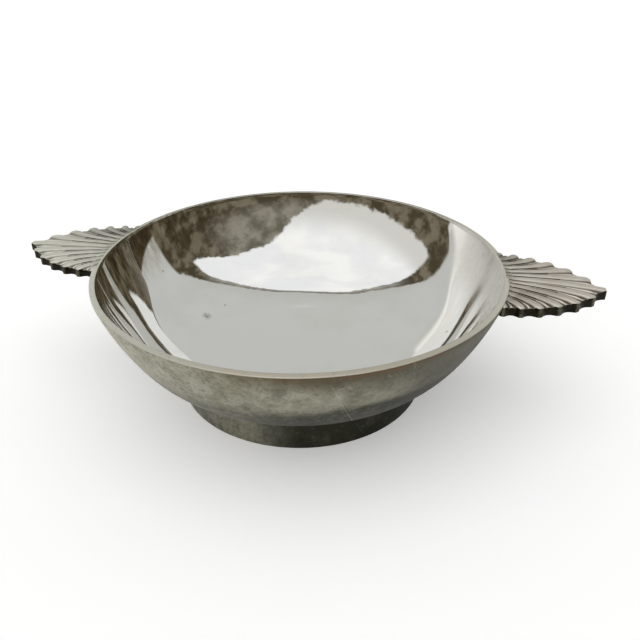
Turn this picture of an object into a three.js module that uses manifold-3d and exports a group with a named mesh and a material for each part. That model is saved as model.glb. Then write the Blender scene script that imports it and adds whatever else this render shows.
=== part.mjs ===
// A shallow footed bowl with two cast fan handles.
// Millimetres and degrees, +Z up, origin on the axis at the foot's underside, handles along X.

import * as THREE from 'three';
import { mergeVertices } from 'three/addons/utils/BufferGeometryUtils.js';
import Module from 'manifold-3d';

const wasm = await Module();
wasm.setup();

// The bowl's outer wall: a long arc from the lip, a tighter turn, and a nearly flat base
const RIM_RADIUS = 60;
const LIP_HEIGHT = 0.8;
const LIP_SLOPE = 72;
const WALL_ARC_RADIUS = 78;
const SHOULDER_SLOPE = 58;
const TURN_ARC_RADIUS = 30;
const BASE_SLOPE = 8;
const WALL = 2.0;
const LIP_CHAMFER = 0.55;
const LIP_BREAK = 0.25;

// The foot
const FOOT_RADIUS = 37.5;
const FOOT_TAPER = 0.4;
const FOOT_WALL = 1.6;
const FOOT_HEIGHT = 8.6;
const FOOT_BREAK = 0.3;
const SEAT_STEP = 0.27;

// The handles: a pointed arch in plan, filled with ribs that fan out from the rim
const HANDLE_REACH = 26.2;
const HANDLE_HALF_WIDTH = 17.0;
const HANDLE_SET_IN = 2.25;
const HANDLE_THICKNESS = 2.8;
const HANDLE_DROP_AT_RIM = 0.1;
const HANDLE_DROP_AT_TIP = 0.6;
const SIDE_RIBS = 6;
const LOBE_RATIO = 0.92;
const NOTCH_INSET = 0.9;
const RIB_RELIEF = 0.75;
const RIB_ROOT_PITCH = 1.0;
const RIB_ROOT_GROWTH = 0.19;
const RIB_LEAD = 0.6;
const RIB_BEND = 0.65;
const LOBE_SWELL = 6;
const LOBE_ROLL = 0.4;
const LOBE_ROLL_START = 0.86;

// Solder seams, and the joint gap that each piece keeps to the neighbour that it is fitted to
const JOINT_GAP = 0.3;
const FOOT_SEAM_LEG = 0.9;
const HANDLE_SEAM_LEG = 1.6;
const HANDLE_SEAM_HALF_ANGLE = 13.5;

// Faceting
const TURNS = 64;
const WALL_STEPS = 4;
const TURN_STEPS = 7;
const BASE_STEPS = 2;
const RIB_ROWS = [0, 0.18, 0.36, 0.54, 0.7, 0.84, 0.93, 1];
const RIB_COLUMNS = [-1, -0.6, 0, 0.6, 1];
const WELD = 1e-4;

const rad = THREE.MathUtils.degToRad;

// An arc of the wall: the slope runs from high to low, and an inset moves it into the metal
class WallArc {
  constructor(centreR, centreZ, radius, high, low) {
    Object.assign(this, { centreR, centreZ, radius, high, low });
  }

  at(slope, inset = 0) {
    const reach = this.radius - inset;
    return new THREE.Vector2(this.centreR + reach * Math.sin(slope), this.centreZ - reach * Math.cos(slope));
  }

  points(steps, inset = 0, from = this.high) {
    const list = [];
    for (let i = 0; i <= steps; i++) list.push(this.at(from + (this.low - from) * i / steps, inset));
    return list;
  }
}

// The wall's arcs with the lip's lower edge at height z
function wallArcs(z) {
  const [lip, shoulder, base] = [LIP_SLOPE, SHOULDER_SLOPE, BASE_SLOPE].map(rad);
  const long = new WallArc(RIM_RADIUS - WALL_ARC_RADIUS * Math.sin(lip), z + WALL_ARC_RADIUS * Math.cos(lip),
    WALL_ARC_RADIUS, lip, shoulder);
  const knee = long.at(shoulder);
  const turn = new WallArc(knee.x - TURN_ARC_RADIUS * Math.sin(shoulder),
    knee.y + TURN_ARC_RADIUS * Math.cos(shoulder), TURN_ARC_RADIUS, shoulder, base);
  const edge = turn.at(base);
  const baseRadius = edge.x / Math.sin(base);
  const bottom = new WallArc(0, edge.y + baseRadius * Math.cos(base), baseRadius, base, 0);
  return { long, turn, bottom };
}

// Height of the outer wall at a distance from the axis
function undersideAt(r, arcs) {
  const arc = [arcs.bottom, arcs.turn, arcs.long].find((a) => r <= a.at(a.high).x) ?? arcs.long;
  const slope = Math.asin((r - arc.centreR) / arc.radius);
  return arc.at(slope).y;
}

// The bowl is set so that the seat of the foot stands a small step below its underside
const footTopRadius = FOOT_RADIUS - FOOT_TAPER;
const seatInner = footTopRadius - FOOT_WALL;
const lipBase = FOOT_HEIGHT + SEAT_STEP - undersideAt(seatInner, wallArcs(0));
const rimHeight = lipBase + LIP_HEIGHT;
const arcs = wallArcs(lipBase);

// Distance of the outer wall from the axis at a height
function wallRadiusAt(z) {
  const arc = z >= arcs.long.at(arcs.long.low).y ? arcs.long : arcs.turn;
  return arc.at(Math.acos((arc.centreZ - z) / arc.radius)).x;
}

// The points of two arcs that follow each other, from the lower one's foot to the upper one's top
function wallRun(lower, lowerSteps, upper, upperSteps, inset = 0) {
  const [low, high] = [lower.points(lowerSteps, inset), upper.points(upperSteps, inset)];
  return [...low.reverse(), ...high.reverse().slice(1)];
}

// A turned solid from a profile of (radius, height) points, round the Z axis
function turned(profile) {
  const geometry = new THREE.LatheGeometry(profile, TURNS);
  geometry.rotateX(Math.PI / 2);
  return geometry;
}

// Solids for joining and cutting
function toSolid(geometry) {
  const bare = geometry.clone();
  for (const name of Object.keys(bare.attributes)) if (name !== 'position') bare.deleteAttribute(name);
  const merged = mergeVertices(bare, WELD);
  const mesh = new wasm.Mesh({
    numProp: 3,
    vertProperties: new Float32Array(merged.attributes.position.array),
    triVerts: new Uint32Array(merged.index.array),
  });
  return new wasm.Manifold(mesh);
}

function toGeometry(solid) {
  const mesh = solid.getMesh();
  const geometry = new THREE.BufferGeometry();
  geometry.setAttribute('position', new THREE.BufferAttribute(new Float32Array(mesh.vertProperties), 3));
  geometry.setIndex(new THREE.BufferAttribute(new Uint32Array(mesh.triVerts), 1));
  geometry.computeVertexNormals();
  return geometry;
}

// The bowl: the seat for the foot, the outer wall, the lip, and the inner wall a wall's thickness away
function bowlGeometry() {
  const outside = wallRun(arcs.turn, TURN_STEPS, arcs.long, WALL_STEPS);
  const underside = arcs.bottom.points(BASE_STEPS).reverse();
  underside[0].x = 0;
  const wall = [...underside, ...outside.slice(1)];
  const seat = [
    new THREE.Vector2(seatInner, undersideAt(seatInner, arcs)),
    new THREE.Vector2(seatInner, FOOT_HEIGHT),
    new THREE.Vector2(footTopRadius, FOOT_HEIGHT),
    new THREE.Vector2(footTopRadius, undersideAt(footTopRadius, arcs)),
  ];
  const innerTop = Math.acos((arcs.long.centreZ - rimHeight) / (arcs.long.radius - WALL));
  const lipInner = arcs.long.at(innerTop, WALL).x;
  const lip = [
    new THREE.Vector2(RIM_RADIUS, rimHeight - LIP_BREAK),
    new THREE.Vector2(RIM_RADIUS - LIP_BREAK, rimHeight),
    new THREE.Vector2(lipInner + LIP_CHAMFER, rimHeight),
  ];
  const chamferSlope = Math.acos((arcs.long.centreZ - rimHeight + LIP_CHAMFER) / (arcs.long.radius - WALL));
  const inside = arcs.long.points(WALL_STEPS, WALL, chamferSlope);
  inside.push(...arcs.turn.points(TURN_STEPS, WALL).slice(1));
  inside.push(...arcs.bottom.points(BASE_STEPS, WALL).slice(1));
  inside.at(-1).x = 0;
  const within = wall.filter((p) => p.x < seatInner - JOINT_GAP);
  const beyond = wall.filter((p) => p.x > footTopRadius + JOINT_GAP);
  return turned([...within, ...seat, ...beyond, ...lip, ...inside]);
}

// The foot: a ring with broken lower edges, whose flat top meets the bowl's seat
function footGeometry() {
  const inner = FOOT_RADIUS - FOOT_WALL;
  const profile = [
    new THREE.Vector2(inner + FOOT_BREAK, 0),
    new THREE.Vector2(FOOT_RADIUS - FOOT_BREAK, 0),
    new THREE.Vector2(FOOT_RADIUS, FOOT_BREAK),
    new THREE.Vector2(footTopRadius, FOOT_HEIGHT),
    new THREE.Vector2(seatInner, FOOT_HEIGHT),
    new THREE.Vector2(inner, FOOT_BREAK),
  ];
  return turned([...profile, profile[0].clone()]);
}

// The foot's seam: a three-sided ring in the corner outside the foot, clear of both by the joint gap
function footSeamGeometry() {
  const foot = footTopRadius + JOINT_GAP;
  const outer = foot + FOOT_SEAM_LEG;
  const profile = [
    new THREE.Vector2(foot, FOOT_HEIGHT - FOOT_SEAM_LEG),
    new THREE.Vector2(outer, undersideAt(outer, arcs) - JOINT_GAP),
    new THREE.Vector2(foot, undersideAt(foot, arcs) - JOINT_GAP),
  ];
  return turned([...profile, profile[0].clone()]);
}

// The handle's plan: the arch's centre lies below the axis line, and its tip on it
const archCentreX = RIM_RADIUS - HANDLE_SET_IN;
const tipX = RIM_RADIUS + HANDLE_REACH;
const archLength = tipX - archCentreX;
const archRadius = (archLength ** 2 + HANDLE_HALF_WIDTH ** 2) / (2 * HANDLE_HALF_WIDTH);
const archCentreY = HANDLE_HALF_WIDTH - archRadius;
const tipAngle = Math.atan2(-archCentreY, archLength);

// Share of the arch from the tip to its widest point that k lobes take, narrowing towards the rim
const lobeShare = (k) => (1 - LOBE_RATIO ** k) / (1 - LOBE_RATIO ** SIDE_RIBS);

// A point on the arch, k lobes from the tip, set in by the notch
function archPoint(k, inset) {
  const angle = tipAngle + (Math.PI / 2 - tipAngle) * lobeShare(k);
  const reach = archRadius - inset;
  return new THREE.Vector2(archCentreX + reach * Math.cos(angle), archCentreY + reach * Math.sin(angle));
}

// The outer end of rib k, where 0 is the middle rib and the sign gives the side
function lobeEnd(k) {
  const end = archPoint(Math.abs(k), 0);
  return end.setY(end.y * Math.sign(k));
}

// The groove on one side of rib k, from inside the wall to the notch at the arch
function grooveCurve(k) {
  const side = Math.sign(k);
  const n = Math.abs(k);
  const rootWidth = RIB_ROOT_PITCH * n + RIB_ROOT_GROWTH * n * n;
  const rootRadius = RIM_RADIUS - 2 * WALL;
  const angle = rootWidth / RIM_RADIUS;
  const root = new THREE.Vector2(rootRadius * Math.cos(angle), rootRadius * Math.sin(angle));
  const notch = archPoint(n - 0.5, NOTCH_INSET);
  const chord = notch.clone().sub(root);
  const lead = chord.angle() * RIB_LEAD;
  const bend = new THREE.Vector2(Math.cos(lead), Math.sin(lead)).multiplyScalar(chord.length() * RIB_BEND);
  const points = [root, root.clone().add(bend), notch].map((p) => new THREE.Vector2(p.x, p.y * side));
  return new THREE.QuadraticBezierCurve(...points);
}

// The grooves that bound the ribs, from one side of the handle to the other
const grooveNumbers = [];
for (let n = -SIDE_RIBS - 1; n <= SIDE_RIBS + 1; n++) if (n !== 0) grooveNumbers.push(n);
const grooves = grooveNumbers.map(grooveCurve);

// How far the handle's plane falls below the rim at a distance along X
const handleTop = (x) => rimHeight - HANDLE_DROP_AT_RIM
  - (HANDLE_DROP_AT_TIP - HANDLE_DROP_AT_RIM) * (x - RIM_RADIUS) / HANDLE_REACH;

// The handle's columns run across all the ribs, and neighbours share the groove between them
const ribCount = grooves.length - 1;
const perRib = RIB_COLUMNS.length - 1;
const lastColumn = ribCount * perRib;
const lastRow = RIB_ROWS.length - 1;

// A point of the handle's upper face: rows run from root to lobe end, columns across the ribs
function handlePoint(row, column) {
  const rib = Math.min(Math.floor(column / perRib), ribCount - 1);
  const v = RIB_COLUMNS[column - rib * perRib];
  const u = RIB_ROWS[row];
  const [near, far] = [grooves[rib], grooves[rib + 1]];
  const lobe = lobeEnd(rib - SIDE_RIBS).sub(near.getPoint(1).lerp(far.getPoint(1), 0.5));
  const bulge = (1 - v * v) * u ** LOBE_SWELL;
  const p = near.getPoint(u).lerp(far.getPoint(u), (v + 1) / 2).addScaledVector(lobe, bulge);
  const roll = Math.max(0, (u - LOBE_ROLL_START) / (1 - LOBE_ROLL_START));
  const fall = RIB_RELIEF * v * v + LOBE_ROLL * roll * roll * (1 - v * v);
  return new THREE.Vector3(p.x, p.y, handleTop(p.x) - fall);
}

// The point under it, on the flat underside
function handleUnder(row, column) {
  const p = handlePoint(row, column);
  return p.setZ(handleTop(p.x) - HANDLE_THICKNESS);
}

// The handle before it is fitted to the wall: ribs on top, a flat underside and an upright edge
function handleBlank() {
  const corners = [];
  const quad = (a, b, c, d) => corners.push(a, b, c, a, c, d);
  for (let row = 0; row < lastRow; row++) {
    for (let column = 0; column < lastColumn; column++) {
      const cell = [[row, column], [row + 1, column], [row + 1, column + 1], [row, column + 1]];
      quad(...cell.map((at) => handlePoint(...at)));
      quad(...cell.map((at) => handleUnder(...at)).reverse());
    }
  }
  const border = [];
  for (let row = 0; row < lastRow; row++) border.push([row, 0]);
  for (let column = 0; column < lastColumn; column++) border.push([lastRow, column]);
  for (let row = lastRow; row > 0; row--) border.push([row, lastColumn]);
  for (let column = lastColumn; column > 0; column--) border.push([0, column]);
  border.forEach((at, i) => {
    const next = border[(i + 1) % border.length];
    quad(handlePoint(...at), handleUnder(...at), handleUnder(...next), handlePoint(...next));
  });
  return new THREE.BufferGeometry().setFromPoints(corners);
}

// A solid that fills the bowl out to a gap beyond its wall, for cutting what is fitted to it
function wallCutter(gap) {
  const top = rimHeight + HANDLE_THICKNESS;
  const wall = wallRun(arcs.turn, TURN_STEPS, arcs.long, WALL_STEPS, -gap);
  const floor = new THREE.Vector2(0, wall[0].y);
  const rim = RIM_RADIUS + gap;
  return toSolid(turned([floor, ...wall, new THREE.Vector2(rim, lipBase), new THREE.Vector2(rim, top),
    new THREE.Vector2(0, top)]));
}

function handleGeometry() {
  return toGeometry(toSolid(handleBlank()).subtract(wallCutter(JOINT_GAP)));
}

// The seam under a handle: a three-sided ring in the corner between wall and handle, cut to a short arc
function handleSeamGeometry() {
  const top = handleTop(RIM_RADIUS) - HANDLE_THICKNESS - JOINT_GAP;
  const bottom = top - HANDLE_SEAM_LEG;
  const profile = [
    new THREE.Vector2(wallRadiusAt(bottom) + JOINT_GAP, bottom),
    new THREE.Vector2(wallRadiusAt(top) + JOINT_GAP + HANDLE_SEAM_LEG, top),
    new THREE.Vector2(wallRadiusAt(top) + JOINT_GAP, top),
  ];
  const ring = toSolid(turned([...profile, profile[0].clone()]));
  const reach = 2 * RIM_RADIUS;
  const spread = reach * Math.tan(rad(HANDLE_SEAM_HALF_ANGLE));
  const corners = [[0, 0], [reach, -spread], [reach, spread]];
  const wedge = new THREE.Shape(corners.map((p) => new THREE.Vector2(...p)));
  const sector = new THREE.ExtrudeGeometry(wedge, { depth: rimHeight, bevelEnabled: false });
  return toGeometry(ring.intersect(toSolid(sector)));
}

const pewter = (color, roughness) => new THREE.MeshStandardMaterial({ color, roughness, metalness: 1 });
const part = new THREE.Group();

function addPiece(name, geometry, material, turn = 0) {
  const mesh = new THREE.Mesh(geometry, material);
  mesh.name = name;
  mesh.rotation.z = turn;
  part.add(mesh);
}

addPiece('bowl', bowlGeometry(), pewter(0xb9b8ab, 0.2));
addPiece('foot_ring', footGeometry(), pewter(0x77766a, 0.5));
addPiece('foot_solder', footSeamGeometry(), pewter(0x5f5e55, 0.6));

const handle = handleGeometry();
const seam = handleSeamGeometry();
for (const [side, turn] of [['right', 0], ['left', Math.PI]]) {
  addPiece(`handle_${side}`, handle.clone(), pewter(0xaca498, 0.4), turn);
  addPiece(`handle_solder_${side}`, seam.clone(), pewter(0x5f5e55, 0.6), turn);
}

export default part;
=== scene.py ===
"""A shallow footed bowl with two cast fan handles, in polished and tarnished pewter.

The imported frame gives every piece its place. The bowl and its foot are drawn as sections and spun,
and each fan is a grid that is laid over its ribs and given a thickness. Lengths are in metres.
"""

import math

import bpy
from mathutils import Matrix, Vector


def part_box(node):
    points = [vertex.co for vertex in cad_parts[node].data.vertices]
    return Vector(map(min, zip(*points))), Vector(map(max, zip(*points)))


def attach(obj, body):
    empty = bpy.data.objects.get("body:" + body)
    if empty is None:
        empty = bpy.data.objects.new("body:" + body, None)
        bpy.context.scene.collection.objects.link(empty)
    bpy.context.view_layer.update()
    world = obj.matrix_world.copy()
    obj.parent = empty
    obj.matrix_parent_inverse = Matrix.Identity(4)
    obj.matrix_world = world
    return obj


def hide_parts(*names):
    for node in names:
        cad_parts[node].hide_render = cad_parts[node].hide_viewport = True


bl_info = {
    "name": "Footed Bowl",
    "version": (1, 0, 0),
    "blender": (4, 5, 0),
    "location": "View3D > Sidebar > Bowl",
    "description": "Makes a footed pewter bowl with two fan handles, and a plain studio round it",
    "category": "Object",
}

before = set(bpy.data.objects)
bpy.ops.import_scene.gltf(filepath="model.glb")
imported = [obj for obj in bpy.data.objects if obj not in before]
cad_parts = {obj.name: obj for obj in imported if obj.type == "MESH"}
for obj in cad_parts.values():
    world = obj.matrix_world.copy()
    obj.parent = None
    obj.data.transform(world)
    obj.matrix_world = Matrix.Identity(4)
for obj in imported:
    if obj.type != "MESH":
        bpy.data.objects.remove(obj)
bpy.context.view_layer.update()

MM = 0.001

bowl_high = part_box("bowl")[1]
foot_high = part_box("foot_ring")[1]

# Headings round the bowl in degrees: right in the camera's view, and away from the camera
RIGHT = 12.285
AWAY = 102.285

# Spots on the polish: heading in degrees, then distance from the axis and size in millimetres
INSIDE_SPOTS = ((163.6, 36.1, 1.8), (164.5, 51.8, 0.4), (149.0, 36.1, 0.5))

# Long scratches on the wall, in millimetres: offset, lean, and the heights of the two ends
LONG_SCRATCHES = ((-4.7, 0.42, 36.5, 13.0), (-2.9, 0.5, 33.0, 24.0))
SCRATCH_HEADING = math.radians(-67)

# The middle of the thirteen ribs, in the fan's own map
MIDDLE_RIB = 6.5

# The camera's place from the middle of the rim, in rim radii
CAMERA_SPOT = (0.65398, -3.00323, 1.4507)

# In millimetres. The focal length is 690 pixels in a picture 640 wide
SENSOR = 36
LENS = SENSOR * 690 / 640


# Sizes and colours that a user would change

def length(name, description, millimetres):
    return bpy.props.FloatProperty(
        name=name, description=description, default=millimetres * MM, unit="LENGTH", precision=5
    )


def slope(name, description, degrees):
    return bpy.props.FloatProperty(
        name=name, description=description, default=math.radians(degrees), subtype="ANGLE"
    )


def share(name, description, value):
    return bpy.props.FloatProperty(
        name=name, description=description, default=value, min=0, max=1, subtype="FACTOR"
    )


def colour(name, description, red, green, blue):
    return bpy.props.FloatVectorProperty(
        name=name, description=description, default=(red, green, blue), size=3, min=0, max=1,
        subtype="COLOR",
    )


class BowlSizes(bpy.types.PropertyGroup):
    """Sizes of the turned body."""

    wall: length("Wall", "Thickness of the wall", 2.0)
    lip_height: length("Lip height", "Height of the upright edge outside the lip", 0.8)
    lip_slope: slope("Lip slope", "Slope of the wall just under the lip", 72)
    long_radius: length("Wall radius", "Radius of the wall's long upper arc", 78)
    shoulder_slope: slope("Shoulder slope", "Slope where the upper arc meets the turn", 58)
    turn_radius: length("Turn radius", "Radius of the tighter arc above the foot", 30)
    base_slope: slope("Base slope", "Slope where the turn meets the nearly flat base", 8.3)
    easing: length("Easing", "Length over which one arc eases into the next", 7)
    lip_fall: length("Lip fall", "How much lower the lip's outer edge is than its inner one", 0.17)
    lip_thinning: length("Lip thinning", "How much thinner the wall is at the lip", 0.22)
    inner_round: length("Inner round", "Radius on the lip's inner edge", 0.13)
    outer_round: length("Outer round", "Radius on the lip's outer edge", 0.3)


class FootSizes(bpy.types.PropertyGroup):
    """Sizes of the foot and its seam."""

    taper: length("Taper", "How much narrower the foot is at its top", 0.4)
    wall: length("Wall", "Thickness of the foot's wall", 1.6)
    edge_round: length("Edge round", "Radius on the foot's lower edges", 0.35)
    seam: length("Seam", "Width of the solder seam above the foot", 0.9)


class FanSizes(bpy.types.PropertyGroup):
    """Sizes of the fan handles."""

    reach: length("Reach", "How far the fan stands out from the rim", 26.2)
    half_width: length("Half width", "Half of the fan's width", 17.0)
    set_in: length("Set in", "How far inside the rim the fan is widest", 2.25)
    thickness: length("Thickness", "Thickness of the fan", 2.8)
    drop_at_rim: length("Drop at rim", "How far the ribs lie under the lip at the rim", 0.1)
    drop_at_tip: length("Drop at tip", "How far the ribs lie under the lip at the tip", 0.6)
    side_ribs: bpy.props.IntProperty(
        name="Side ribs", description="Ribs on each side of the middle one", default=6, min=1
    )
    lobe_ratio: share("Lobe ratio", "How each lobe compares with the one nearer the tip", 0.92)
    notch: length("Notch", "Depth of the notches between the lobes", 1.0)
    relief: length("Relief", "Depth of the grooves between the ribs", 0.7)
    bead: share("Bead", "Height of the bead in each groove, as a share of its depth", 0.6)
    edge_round: length("Edge round", "Radius on the upper edge of the lobes", 0.35)
    droop: length("Droop", "How much lower the right fan's tip hangs", 0.4)
    tilt: length("Tilt", "How much lower the right fan's near side hangs", 0.3)
    swelling: length("Swelling", "How much thicker the right fan was cast", 0.35)
    seam: length("Seam", "Width of the solder seam under the fan", 1.6)
    seam_angle: slope("Seam angle", "Half of the angle that the seam covers", 13.5)


class PewterColours(bpy.types.PropertyGroup):
    """Colours of the finishes."""

    polish: colour("Polish", "Polished metal inside the bowl", 0.87, 0.865, 0.84)
    satin: colour("Satin", "Satin metal of the lip", 0.69, 0.69, 0.61)
    dull: colour("Dull", "Tarnished metal outside", 0.27, 0.255, 0.18)
    pale: colour("Pale", "Paler mottling outside", 0.44, 0.43, 0.34)
    blue_grey: colour("Blue grey", "Cool film low on the wall", 0.20, 0.212, 0.19)
    dark: colour("Dark", "Dark patina", 0.026, 0.026, 0.018)
    stain: colour("Stain", "Brown stain under the lip", 0.16, 0.108, 0.066)
    ribs: colour("Ribs", "Satin metal on the ribs", 0.74, 0.655, 0.57)
    grooves: colour("Grooves", "Patina in the grooves", 0.085, 0.062, 0.042)


class StudioSettings(bpy.types.PropertyGroup):
    """The stage: its floor, its light and its camera."""

    floor_size: length("Floor", "Side of the floor", 8000)
    floor_colour: colour("Floor colour", "Colour of the floor", 0.9, 0.9, 0.9)
    floor_lift: share("Floor lift", "White added to the floor for the camera and for metal", 0.3)
    set_turn: slope("Set turn", "How far the set is turned from the bowl's front", RIGHT)
    camera_turn: slope("Camera turn", "The camera's heading", 10.503)
    camera_dip: slope("Camera dip", "How far the camera looks down", 30.228)


# Node trees

def through(operation, swapped=False):
    """A method that sends a wire through a Math node, by itself or with another value."""
    def method(self, *other):
        return self.sum(operation, *((*other, self) if swapped else (self, *other)))
    return method


class Wire:
    """A node's output that takes part in sums: each sum adds a Math node."""

    def __init__(self, finish, socket):
        self.finish, self.socket = finish, socket

    def sum(self, operation, *values, clamp=False):
        settings = {"operation": operation, "use_clamp": clamp}
        return self.finish.node("ShaderNodeMath", settings, dict(enumerate(values)))

    __add__, __radd__ = through("ADD"), through("ADD", True)
    __sub__, __rsub__ = through("SUBTRACT"), through("SUBTRACT", True)
    __mul__, __rmul__ = through("MULTIPLY"), through("MULTIPLY", True)
    __truediv__, __pow__ = through("DIVIDE"), through("POWER")
    __abs__, larger = through("ABSOLUTE"), through("MAXIMUM")
    fraction, exponent = through("FRACT"), through("EXPONENT")

    def clamp(self):
        return self.sum("ADD", self, 0.0, clamp=True)

    def rise(self, low, high):
        """0 below low, 1 above high, and smooth between them. Low may be above high."""
        settings = {"interpolation_type": "SMOOTHSTEP", "clamp": True}
        ends = {"Value": self, "From Min": low, "From Max": high}
        return self.finish.node("ShaderNodeMapRange", settings, ends)


class Finish:
    """A node tree that is being built."""

    def __init__(self, owner):
        owner.use_nodes = True
        self.owner, self.tree = owner, owner.node_tree
        self.tree.nodes.clear()

    def node(self, kind, settings=None, sockets=None, out=0):
        """Adds a node, makes its settings, then sets or links its sockets."""
        node = self.tree.nodes.new(kind)
        for name, value in (settings or {}).items():
            setattr(node, name, value)
        for name, value in (sockets or {}).items():
            if isinstance(value, Wire):
                self.tree.links.new(value.socket, node.inputs[name])
            else:
                node.inputs[name].default_value = value
        return Wire(self, node.outputs[out]) if node.outputs else None

    def output(self, wire, name):
        """Another output of the node that a wire comes from."""
        return Wire(self, wire.socket.node.outputs[name])

    def parts(self, vector):
        """The three numbers of a vector."""
        split = self.node("ShaderNodeSeparateXYZ", sockets={"Vector": vector}).socket.node
        return [Wire(self, output) for output in split.outputs]

    def vector(self, x, y, z):
        return self.node("ShaderNodeCombineXYZ", sockets={"X": x, "Y": y, "Z": z})

    def turned(self, vector, rotation):
        sockets = {"Vector": vector, "Rotation": rotation}
        return self.node("ShaderNodeMapping", {"vector_type": "POINT"}, sockets)

    def noise(self, vector, scale, detail=3.0, roughness=0.55, distortion=0.0):
        sockets = {"Vector": vector, "Scale": scale, "Detail": detail, "Roughness": roughness,
                   "Distortion": distortion}
        return self.node("ShaderNodeTexNoise", sockets=sockets, out="Fac")

    def mix(self, factor, first, second):
        """Two colours mixed by a factor. A Mix node takes its colours at sockets 6 and 7, and
        gives one at 2."""
        settings = {"data_type": "RGBA", "blend_type": "MIX", "clamp_factor": True}
        first, second = (c if isinstance(c, Wire) else (*c, 1.0) for c in (first, second))
        return self.node("ShaderNodeMix", settings, {0: factor, 6: first, 7: second}, out=2)

    def layered(self, colour, *layers):
        """A colour under layers, each of them a factor and a colour."""
        for factor, over in layers:
            colour = self.mix(factor, colour, over)
        return colour


class Metal(Finish):
    """The finish of a piece, drawn in the piece's own coordinates in millimetres."""

    def __init__(self, name):
        super().__init__(bpy.data.materials.new(name))
        sockets = {"Vector": self.node("ShaderNodeTexCoord", out="Object"), "Scale": 1 / MM}
        self.place = self.node("ShaderNodeVectorMath", {"operation": "SCALE"}, sockets)
        self.x, self.y, self.z = self.parts(self.place)
        self.radius = (self.x * self.x + self.y * self.y) ** 0.5

    def surface(self, colour, *layers, roughness, height, depth, metallic=1.0):
        """Ends the tree and gives the material: a colour under its layers, and a bump whose
        height runs over a depth in millimetres."""
        sockets = {"Height": height, "Distance": depth * MM}
        bump = self.node("ShaderNodeBump", sockets=sockets, out="Normal")
        sockets = {"Base Color": self.layered(colour, *layers), "Metallic": metallic,
                   "Roughness": roughness, "Normal": bump}
        surface = self.node("ShaderNodeBsdfPrincipled", sockets=sockets)
        self.node("ShaderNodeOutputMaterial", sockets={"Surface": surface})
        return self.owner

    def cloud(self, *settings):
        return self.noise(self.place, *settings)

    def wrapped(self, turns, lift):
        """Coordinates that run round the axis without a seam, and up. A pattern on them repeats
        `turns` units a radius."""
        across, ahead = self.x / self.radius * turns, self.y / self.radius * turns
        return self.vector(across, ahead, self.z * lift)

    def toward(self, degrees):
        """1 in one direction from the axis, 0 beside it and -1 in the opposite direction."""
        turn = math.radians(degrees)
        return (self.x * math.cos(turn) + self.y * math.sin(turn)) / self.radius

    def near(self, degrees, width):
        """1 in one direction from the axis, falling to 0 at a width in degrees."""
        return self.toward(degrees).rise(math.cos(math.radians(width)), 1.0)

    def ribs(self):
        """The fan's own map: the rib's number across, and the way from its root to its lobe."""
        return self.parts(self.node("ShaderNodeUVMap", {"uv_map": "ribs"}, out="UV"))[:2]

    def specks(self, scale, size, amount):
        """Round specks: cells of a Voronoi pattern, of which only some hold one."""
        cell = self.node("ShaderNodeTexVoronoi", sockets={"Vector": self.place, "Scale": scale})
        picked = self.parts(self.output(cell, "Color"))[0]
        return cell.rise(size, 0.4 * size) * picked.rise(1.0 - amount, 1.0 - 0.7 * amount)

    def spot(self, turn, out, size):
        """A ragged spot at a heading in degrees and a distance from the axis."""
        turn = math.radians(turn)
        right, back = self.x - out * math.cos(turn), self.y - out * math.sin(turn)
        ragged = self.cloud(1.2) - 0.5
        return ((right * right + back * back) ** 0.5 + ragged * 1.5 * size).rise(size, 0.1 * size)

    def scratches(self):
        """Thin scratches in a few directions, each broken off along its length."""
        total = None
        for turn, lift, scale in ((0.5, 0.9, 0.2), (-0.7, 0.25, 0.15), (1.3, -0.4, 0.11)):
            turned = self.turned(self.place, (turn, lift, turn - lift))
            x, y, z = self.parts(turned)
            line = self.noise(self.vector(x * 7.0, y * 0.12, z * 0.3), scale, 2.0, 0.5)
            broken = self.noise(turned, 0.11, 2.0).rise(0.6, 0.7)
            hair = abs(line - 0.5).rise(0.012, 0.002) * broken
            total = hair if total is None else total.larger(hair)
        return total

    def long_scratch(self, offset, lean, upper, lower):
        """A fine scratch down the wall, near the scratches' heading."""
        aside = self.y * math.cos(SCRATCH_HEADING) - self.x * math.sin(SCRATCH_HEADING)
        line = abs(aside - offset - (upper - self.z) * lean).rise(0.24, 0.05)
        ends = self.z.rise(lower - 1.0, lower + 1.0) * self.z.rise(upper, upper - 1.0)
        return line * ends * self.y.rise(0.0, -1.0)


def polished_inside(colours):
    """Bright polish with a thin film, wiping marks, a few spots, and an olive cast on the left: part
    film, part painted dark reflection.
    """
    finish = Metal("polished_inside")
    right, away = finish.toward(RIGHT), finish.toward(AWAY)
    radius = finish.radius
    film = finish.cloud(0.045, 5.0, 0.62).rise(0.48, 0.72)
    swell = finish.cloud(0.055, 2.0, 0.4)
    scratches = finish.noise(finish.wrapped(20.0, 2.2), 1.1, 6.0, 0.7).rise(0.56, 0.7)
    wiped = finish.noise(finish.wrapped(20.0, 0.12), 1.3, 6.0, 0.7)
    spots = finish.specks(0.13, 0.1, 0.28)
    for turn, out, size in INSIDE_SPOTS:
        spots = spots.larger(finish.spot(turn, out, size))
    haze = right.rise(0.35, 0.9) * away.rise(0.5, 0.25) * radius.rise(50.0, 57.0) * (0.45 + wiped)
    # An olive film on the upper left wall, made stronger towards the back as a painted dark
    # reflection
    olive = right.rise(-0.25, -0.8) * radius.rise(50.0, 57.5) * wiped.rise(0.3, 0.65)
    return finish.surface(
        colours.polish,
        (film * 0.35 + radius.rise(51.0, 58.5) * 0.15, (0.78, 0.765, 0.715)),
        (spots * 0.6, colours.stain),
        (haze * 0.6, (0.80, 0.785, 0.74)),
        (olive * (0.6 + away.rise(-0.3, 0.1) * 0.3), (0.36, 0.325, 0.22)),
        metallic=1.0 - haze * 0.55,
        roughness=0.022 + film * 0.025 + scratches * 0.02 + spots * 0.3 + haze * 0.2,
        height=swell + scratches * 0.004,
        depth=0.035,
    )


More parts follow.
